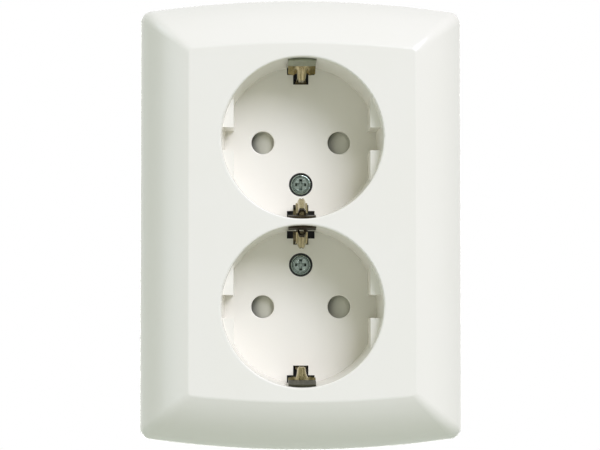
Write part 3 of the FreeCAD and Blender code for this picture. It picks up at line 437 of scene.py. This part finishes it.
# The recess starts above the head at the first share of its width and ends at the second
RECESS_CLEARANCE = 0.3
RECESS_TAPER = (1.08, 0.62)
# Painted shade goes on the recess faces behind this place, between these distances from the
# middle
SHADED_PLACE = -4.05
SHADED_FROM = 0.3
SHADED_TO = 1.6
# The head's turned faces have more corners than this, and aren't part of the recess
SHADED_CORNERS = 9
SHADE_RING_PROFILE = ((-4.1, 2.65), (-4.1, 2.92), (-2.55, 2.92), (-2.55, 2.65))
TARNISH_MM = 0.7
DENT_WIDTH_MM = 0.9


def finished_steel(name, colour, tint, roughness, dent_mm):
    # Tone and gloss change together in small patches, and shallow dents break the highlights
    material = new_material(name)
    place = add_node(material, "ShaderNodeTexCoord", {}, {}).outputs["Object"]
    tarnish = add_node(material, "ShaderNodeTexNoise",
                       {"Scale": 1 / (TARNISH_MM * MM), "Detail": 4.0}, {"Vector": place})
    tone = add_node(material, "ShaderNodeMix",
                    {"data_type": "RGBA", 6: linear(colour), 7: linear(tint)},
                    {0: tarnish.outputs["Fac"]})
    gloss = add_node(material, "ShaderNodeMapRange",
                     {"To Min": roughness - 0.1, "To Max": roughness + 0.12},
                     {"Value": tarnish.outputs["Fac"]})
    dents = add_node(material, "ShaderNodeTexNoise",
                     {"Scale": 1 / (DENT_WIDTH_MM * MM), "Detail": 1.0}, {"Vector": place})
    bump = add_node(material, "ShaderNodeBump", {"Strength": 1.0, "Distance": dent_mm * MM},
                    {"Height": dents.outputs["Fac"]})
    shader = add_node(material, "ShaderNodeBsdfPrincipled", {"Metallic": 1.0},
                      {"Base Color": tone.outputs[2], "Roughness": gloss.outputs["Result"],
                       "Normal": bump.outputs["Normal"]})
    add_node(material, "ShaderNodeOutputMaterial", {}, {"Surface": shader.outputs["BSDF"]})
    return material


def turned_part(up, profile):
    # A row of profile is (along Y, radius), and (along Y, radius, depth, pitch) in a thread
    vertices, faces = [], []
    for along, radius, *thread in profile:
        for step in range(TURNED_SIDES):
            angle = step * math.tau / TURNED_SIDES
            reach = radius
            if thread:
                depth, pitch = thread
                turn = (along / pitch - step / TURNED_SIDES) % 1
                reach += depth * abs(2 * turn - 1)
            vertices.append((reach * math.cos(angle), along, up + reach * math.sin(angle)))
    for row in range(len(profile) - 1):
        near, far = row * TURNED_SIDES, (row + 1) * TURNED_SIDES
        for step in range(TURNED_SIDES):
            ahead = (step + 1) % TURNED_SIDES
            faces.append((near + step, near + ahead, far + ahead, far + step))
    return vertices, faces


def cross_recess(up):
    # Two crossed bars that narrow towards the recess's floor
    front = (RECESS_TOP - RECESS_CLEARANCE, RECESS_TAPER[0])
    floor = (RECESS_TOP + RECESS_DEPTH, RECESS_TAPER[1])
    bars = []
    for half_x, half_z in ((RECESS_LENGTH / 2, RECESS_WIDTH / 2),
                           (RECESS_WIDTH / 2, RECESS_LENGTH / 2)):
        vertices = []
        for along, share in (front, floor):
            for x, z in ((-1, -1), (1, -1), (1, 1), (-1, 1)):
                vertices.append((half_x * share * x, along, up + half_z * share * z))
        faces = [(0, 1, 2, 3), (4, 5, 6, 7), (0, 1, 5, 4), (1, 2, 6, 5), (2, 3, 7, 6),
                 (3, 0, 4, 7)]
        bars.append(make_piece("recess", vertices, faces, blue_zinc))
    return bars


# Greenish blue-grey, whose dents break the shine into small bright marks
blue_zinc = finished_steel("blue zinc-plated steel", "#98A49A", "#5C685E", 0.22, 0.25)
# The same plating darker, as painted shade in the cross recess, and with a wider, weaker shine
shade_darkened_zinc = finished_steel("blue zinc plating darkened as painted shade", "#838F86", "#59645B", 0.3, 0.05)
# Its black is painted shade in the insert's slots and round the screw heads
# Near black and matt. The filler's grain is drawn 0.4 mm wide, coarser than it is, to show
shade_black_polyamide = moulded_plastic("moulded polyamide blackened as painted shade", "#17181A", "#121314",
                                  0.5, 0.4, 0.01)
for place, side in (("upper", 1), ("lower", -1)):
    up = SCREW_UP * side
    thread = tuple((THREAD_START + row * THREAD_STEP, THREAD_ROOT, THREAD_DEPTH, THREAD_PITCH)
                   for row in range(THREAD_ROWS))
    profile = SCREW_HEAD + thread + SCREW_POINT
    vertices, faces = turned_part(up, profile)
    last = (len(profile) - 1) * TURNED_SIDES
    faces += [tuple(range(TURNED_SIDES)), tuple(range(last, last + TURNED_SIDES))]
    piece = make_piece(f"threaded_cover_screw_{place}", vertices, faces, blue_zinc)
    cut_away(piece, cross_recess(up))
    # The recess's walls and floor take the darker zinc: painted shade
    piece.data.materials.append(shade_darkened_zinc)
    for face in piece.data.polygons:
        away = math.hypot(face.center.x, face.center.z - up * MM)
        is_deep = face.center.y > SHADED_PLACE * MM
        if is_deep and SHADED_FROM * MM < away < SHADED_TO * MM:
            if len(face.vertices) < SHADED_CORNERS:
                face.material_index = 1
    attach(piece, "socket")
    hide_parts(f"cover_screw_{place}")
    # A black ring round the head, standing in for the shade in the gap: painted shade
    vertices, faces = turned_part(up, SHADE_RING_PROFILE)
    last = (len(SHADE_RING_PROFILE) - 1) * TURNED_SIDES
    for step in range(TURNED_SIDES):
        ahead = (step + 1) % TURNED_SIDES
        faces.append((step, ahead, ahead + last, step + last))
    shade_ring_piece = make_piece(f"shade_ring_{place}", vertices, faces, shade_black_polyamide)
    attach(shade_ring_piece, "socket")

# Shutters: two sliders of moulded acetal that close the pin holes. They slide in the
# contact carrier, and a plug's two pins together push one aside by its ramps.
# Grey-beige and matt. The eroded tool's grain is drawn 0.3 mm wide, coarser than it is
acetal = moulded_plastic("moulded grey-beige acetal", "#CFCEBF", "#C6C5B4", 0.5, 0.3, 0.006)
for place in ("upper", "lower"):
    dress(f"shutter_{place}", acetal)

# Support frame: a flat plate blanked from sheet steel. It is riveted to the contact carrier and
# screwed to the wall box. It is drawn black so that the slots into the insert show dark:
# painted shade.
# Dark blue-grey with a wide, weak shine
shade_black_steel = finished_steel("sheet steel blackened as painted shade", "#3C3D40", "#2C2D30", 0.42, 0.02)
dress("support_frame", shade_black_steel)

# Contact carrier and rear housing: the insert's two mouldings of filled polyamide, drawn black
# so that little light bounces inside the insert and its slots stay dark: painted shade. Four
# screws from behind join the housing to the carrier.
dress("contact_carrier", shade_black_polyamide)
dress("rear_housing", shade_black_polyamide)

# Earth link: a plate of the bows' nickel-plated bronze that joins both bows. It is riveted
# under them, threaded for the cover screws, and has the earth terminal's tab.
# The strip as it comes from the mill: grey-yellow with an even shine
nickel_bronze = plated_strip("nickel-plated rolled bronze", "#B5AA86", "#7C7150", 0.24)
dress("earth_link", nickel_bronze)

# Contact rails: each is blanked and folded from rolled brass, with two contacts for pins
# and a terminal tab. They lie in the rear housing.
# Clear yellow with fine rolling lines
bare_brass = plated_strip("bare rolled brass", "#C9A860", "#A98645", 0.3)
for wire in ("line", "neutral"):
    dress(f"{wire}_contact_rail", bare_brass)

# Rivets and housing screws: plated steel. The rivets are closed over frame, carrier, bows
# and link, and the screws join the rear housing to the carrier.
# Light neutral grey with a dull shine
rivet_steel = finished_steel("dull plated steel", "#A9ABA8", "#8D8F8B", 0.4, 0.04)
for number in (1, 2, 3, 4):
    dress(f"frame_rivet_{number}", rivet_steel)
    dress(f"housing_screw_{number}", shade_darkened_zinc)
for place in ("upper", "lower"):
    dress(f"earth_rivet_{place}", rivet_steel)
    dress(f"link_rivet_{place}", rivet_steel)

# Springs: bright spring steel, drawn and coiled behind the shutters, rolled and bent in the
# terminals. Each gives way by its slider's travel, so each is a piece of its own.
# Light grey with a narrow, clear shine
spring_steel = finished_steel("bright spring steel", "#A4A4A2", "#8E8E8B", 0.25, 0.01)


def pressed_spring(name, node):
    piece = bpy.data.objects.new(name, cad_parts[node].data.copy())
    bpy.context.scene.collection.objects.link(piece)
    piece.data.materials.clear()
    piece.data.materials.append(spring_steel)
    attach(piece, "socket")
    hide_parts(node)
    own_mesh(piece)


for place, side in (("upper", 1), ("lower", -1)):
    pressed_spring(f"coil_spring_{place}", f"shutter_spring_{place}")
for wire in ("line", "neutral", "earth"):
    pressed_spring(f"leaf_spring_{wire}", f"{wire}_clamp_spring")

# Release bars: three keys of moulded polyamide at the back of the insert. Each is pushed
# towards the front and bends a leaf spring away from its wire.
# Clear orange, half matt. The tool's grain is drawn 0.4 mm wide, coarser than it is
orange = moulded_plastic("moulded orange polyamide", "#D9762B", "#D06C22", 0.4, 0.4, 0.006)
for wire in ("line", "neutral", "earth"):
    dress(f"{wire}_release_bar", orange)

# Floor: a square of pale matt card, one metre wide, 0.2 m below the socket's middle and
# outside the photograph's view. It holds the socket's shadow.
FLOOR_HALF = 0.5
FLOOR_UP = -0.2
floor_mesh = bpy.data.meshes.new("floor")
floor_mesh.from_pydata([(x * FLOOR_HALF, y * FLOOR_HALF, FLOOR_UP)
                        for x, y in ((-1, -1), (1, -1), (1, 1), (-1, 1))], [], [(0, 1, 2, 3)])
floor = bpy.data.objects.new("floor", floor_mesh)
bpy.context.scene.collection.objects.link(floor)
# Very light grey without a shine
pale = new_material("pale matt card")
shader = add_node(pale, "ShaderNodeBsdfPrincipled", {"Base Color": linear("#D7DCD3"),
                                                     "Roughness": 0.8}, {})
add_node(pale, "ShaderNodeOutputMaterial", {}, {"Surface": shader.outputs["BSDF"]})
floor_mesh.materials.append(pale)

# Camera: a long lens 0.6 m in front of the socket, a little left of and below its middle,
# aimed at the front of the cover.
LENS_MM = 141.8
camera = bpy.data.objects.new("camera", bpy.data.cameras.new("camera"))
bpy.context.scene.collection.objects.link(camera)
camera.data.lens = LENS_MM
camera.location = (-0.0141, -0.593, -0.0247)
target = Vector((-0.0006, -0.022, -0.0008))
camera.rotation_euler = (target - camera.location).to_track_quat("-Z", "Y").to_euler()
bpy.context.scene.camera = camera
bpy.context.scene.view_settings.view_transform = "Standard"

# Lamps: square soft boxes. The key stands to the upper right, two weaker ones to the left
# and one behind. Azimuth is in degrees from straight in front towards the right.
BOX_SIZE_SHARE = 0.55


def soft_box(name, azimuth, elevation, distance, power, colour):
    lamp = bpy.data.objects.new(name, bpy.data.lights.new(name, "AREA"))
    bpy.context.scene.collection.objects.link(lamp)
    lamp.data.shape = "SQUARE"
    lamp.data.size = distance * BOX_SIZE_SHARE
    lamp.data.energy = power
    lamp.data.color = colour
    turn, rise = math.radians(azimuth), math.radians(elevation)
    lamp.location = Vector((math.sin(turn) * math.cos(rise), -math.cos(turn) * math.cos(rise),
                            math.sin(rise))) * distance
    lamp.rotation_euler = (-lamp.location).to_track_quat("-Z", "Y").to_euler()


soft_box("key", 30, 34, 1.8, 29.2, (0.836, 0.841, 1.0))
soft_box("upper_left_fill", -80, 35, 0.9, 1.2, (0.79, 0.88, 1.0))
soft_box("left_fill", -75, 5, 0.9, 0.85, (0.79, 0.88, 1.0))
soft_box("rear_fill", 180, 0, 0.9, 3.0, (1.0, 1.0, 1.0))

# World: a soft warm light all round, at a low level. The camera sees it as white, and so
# do the reflections in plastic and metal.
world = bpy.data.worlds.new("studio")
bpy.context.scene.world = world
world.use_nodes = True
world.node_tree.nodes.clear()
path = add_node(world, "ShaderNodeLightPath", {}, {})
mirrored = add_node(world, "ShaderNodeMath", {"operation": "MAXIMUM"},
                    {0: path.outputs["Is Glossy Ray"], 1: path.outputs["Is Transmission Ray"]})
seen = add_node(world, "ShaderNodeMath", {"operation": "MAXIMUM"},
                {0: path.outputs["Is Camera Ray"], 1: mirrored.outputs["Value"]})
ambient = add_node(world, "ShaderNodeBackground", {"Color": (0.95, 1.0, 0.81, 1.0),
                                                   "Strength": 0.31}, {})
white = add_node(world, "ShaderNodeBackground", {"Color": (1.0, 1.0, 1.0, 1.0),
                                                 "Strength": 1.0}, {})
mixed = add_node(world, "ShaderNodeMixShader", {}, {0: seen.outputs["Value"],
                                                    1: ambient.outputs["Background"],
                                                    2: white.outputs["Background"]})
add_node(world, "ShaderNodeOutputWorld", {}, {"Surface": mixed.outputs["Shader"]})
